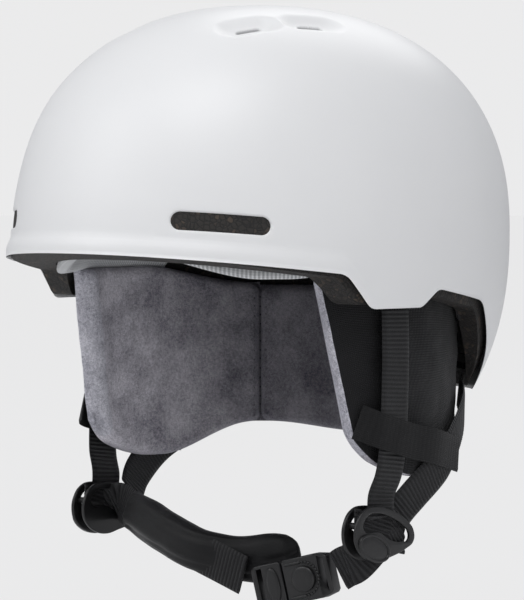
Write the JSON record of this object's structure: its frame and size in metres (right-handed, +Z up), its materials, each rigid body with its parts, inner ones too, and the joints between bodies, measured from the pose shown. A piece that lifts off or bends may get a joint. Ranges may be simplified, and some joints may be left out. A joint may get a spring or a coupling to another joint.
{
  "type": "ski helmet",
  "caption": "Hard-shell snow helmet with a foam liner, plush ear and nape pads, Y-shaped chin straps with dividers, a padded chin strap and a snap buckle.",
  "frame": {"origin": "on the head's axis, level with the lower edge of the brim", "axes": "+Z up towards the crown, -Y to the front, +X to the wearer's left"},
  "size_m": [0.222, 0.2816, 0.3065],
  "materials": {
    "shell_white": "fine satin moulded shell, faintly brighter rolled edge",
    "foam_black": "beaded expanded foam, speckled black",
    "plush_grey": "deep plush pile, mottled grey lavender",
    "knit_light": "fine ribbed knit",
    "knit_black": "matte black knit",
    "pad_foam": "open-cell foam",
    "web_black": "ribbed webbing",
    "elastic_black": "smooth flat elastic",
    "satin_black": "soft satin cloth",
    "plastic_black": "satin moulded nylon",
    "steel": "plated steel",
    "hook_black": "hook tape"
  },
  "bodies": {
    "helmet": {"outer_shell": "shell_white", "foam_liner": "foam_black", "brow_pad": "knit_light", "crown_pads": "plush_grey", "nape_pad_cover": "knit_black", "nape_pad_foam": "pad_foam", "nape_pad_lining": "plush_grey", "strap_anchors": "plastic_black", "snap_sockets": "plastic_black", "hook_patches": "hook_black", "goggle_clip_plate": "plastic_black", "goggle_clip_rivets": "steel", "goggle_clip_stud": "plastic_black"},
    "goggle_clip": {"goggle_clip_strap": "elastic_black", "goggle_clip_cap": "plastic_black"},
    "left_flap": {"left_ear_pad_cover": "knit_black", "left_ear_pad_foam": "pad_foam", "left_ear_pad_lining": "plush_grey", "left_snap_studs": "plastic_black", "left_front_strap": "web_black", "left_rear_strap": "web_black", "left_elastic_keeper": "elastic_black", "left_lower_strap": "web_black", "buckle_base": "plastic_black", "buckle_base_magnet": "steel"},
    "right_flap": {"right_ear_pad_cover": "knit_black", "right_ear_pad_foam": "pad_foam", "right_ear_pad_lining": "plush_grey", "right_snap_studs": "plastic_black", "right_front_strap": "web_black", "right_rear_strap": "web_black", "right_elastic_keeper": "elastic_black"},
    "left_divider_slide": {"left_divider": "plastic_black"},
    "right_divider_slide": {"right_divider": "plastic_black"},
    "chin_strap": {"chin_webbing": "web_black", "chin_pad": "satin_black", "buckle_latch": "plastic_black", "buckle_latch_magnet": "steel"},
    "pull_tab": {"buckle_pull_tab": "plastic_black"}
  },
  "joints": [
    {"name": "left_ear_flap_hinge", "type": "hinge", "parent": "helmet", "child": "left_flap", "pos_m": [0.0963, -0.012, -0.029], "axis": [0.2859, -0.8681, 0.4058], "range_deg": [0, 14], "stiffness_Nm_per_rad": 0.6},
    {"name": "right_ear_flap_hinge", "type": "hinge", "parent": "helmet", "child": "right_flap", "pos_m": [-0.0963, -0.012, -0.029], "axis": [0.2859, 0.8681, -0.4058], "range_deg": [0, 14], "stiffness_Nm_per_rad": 0.6},
    {"name": "left_divider_adjust", "type": "slide", "parent": "left_flap", "child": "left_divider_slide", "axis": [0, 0, 1], "range_m": [0, 0.005]},
    {"name": "right_divider_adjust", "type": "slide", "parent": "right_flap", "child": "right_divider_slide", "axis": [0, 0, 1], "range_m": [0, 0.005]},
    {"name": "chin_strap_swing", "type": "hinge", "parent": "right_flap", "child": "chin_strap", "pos_m": [-0.08, -0.019, -0.134], "axis": [0, 0, -1], "range_deg": [0, 45]},
    {"name": "pull_tab_lift", "type": "hinge", "parent": "chin_strap", "child": "pull_tab", "pos_m": [0.03891, -0.03464, -0.17781], "axis": [0.9495, 0.1899, 0.2499], "range_deg": [0, 35], "stiffness_Nm_per_rad": 0.01},
    {"name": "goggle_clip_hinge", "type": "hinge", "parent": "helmet", "child": "goggle_clip", "pos_m": [0, 0.14087, 0.02437], "axis": [1, 0, 0], "range_deg": [0, 95], "stiffness_Nm_per_rad": 0.02}
  ]
}
